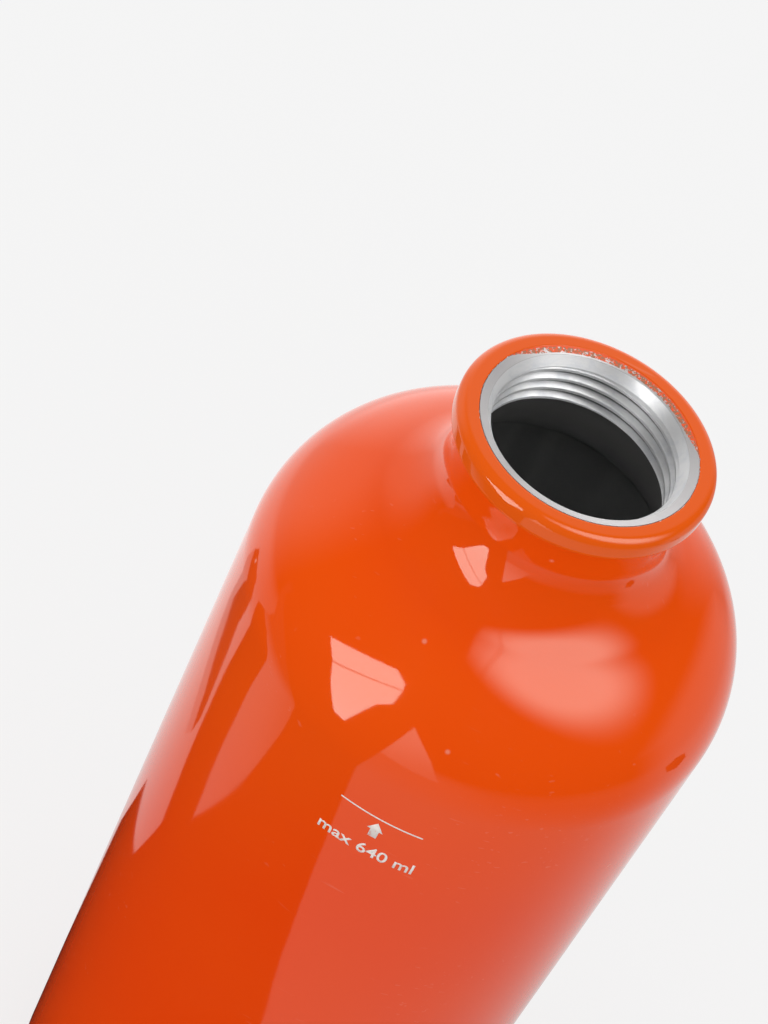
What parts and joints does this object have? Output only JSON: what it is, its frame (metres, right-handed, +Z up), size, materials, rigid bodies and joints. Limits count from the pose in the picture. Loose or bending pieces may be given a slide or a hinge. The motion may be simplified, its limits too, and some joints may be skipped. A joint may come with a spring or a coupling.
{
  "type": "camping fuel bottle",
  "caption": "Round-shouldered metal fuel bottle with a threaded mouth, and its push-and-turn screw stopper taken off and standing beside it.",
  "frame": {"origin": "middle of the bottle's foot, on the plane of the flat ring that it stands on", "axes": "+Z up along the bottle's axis and out of its mouth; -Y is the front, where the fill mark is; +X is the side where the taken-off stopper stands"},
  "size_m": [0.1333, 0.076, 0.2034],
  "materials": {
    "shell_lacquer": "drawn aluminium, gloss orange lacquer outside, dull and dark inside",
    "ring_metal": "turned and threaded, left bare",
    "plug_plastic": "moulded, fine matt",
    "seal_rubber": "smooth moulded ring",
    "spring_steel": "drawn wire",
    "washer_plastic": "natural nylon, smooth",
    "cover_plastic": "moulded, fine matt, polished on the flutes by handling",
    "retainer_steel": "stamped spring steel"
  },
  "bodies": {
    "bottle": {"bottle_shell": "shell_lacquer", "thread_ring": "ring_metal"},
    "plug": {"stopper_plug": "plug_plastic", "stopper_seal": "seal_rubber", "stopper_spring": "spring_steel"},
    "washer": {"stopper_washer": "washer_plastic"},
    "cover": {"stopper_cover": "cover_plastic", "stopper_retainer": "retainer_steel"}
  },
  "joints": [
    {"name": "stopper_lift", "type": "slide", "parent": "bottle", "child": "plug", "axis": [0, 0, 1], "range_m": [0, 0.25]},
    {"name": "cover_push", "type": "slide", "parent": "plug", "child": "washer", "axis": [0, 0, -1], "range_m": [0, 0.002], "stiffness_N_per_m": 1500, "springref_m": -0.003, "deforming": ["stopper_spring"]},
    {"name": "cover_turn", "type": "hinge", "parent": "washer", "child": "cover", "pos_m": [0.07367, 0, 0.0179], "axis": [0, 0, 1], "continuous": true}
  ]
}
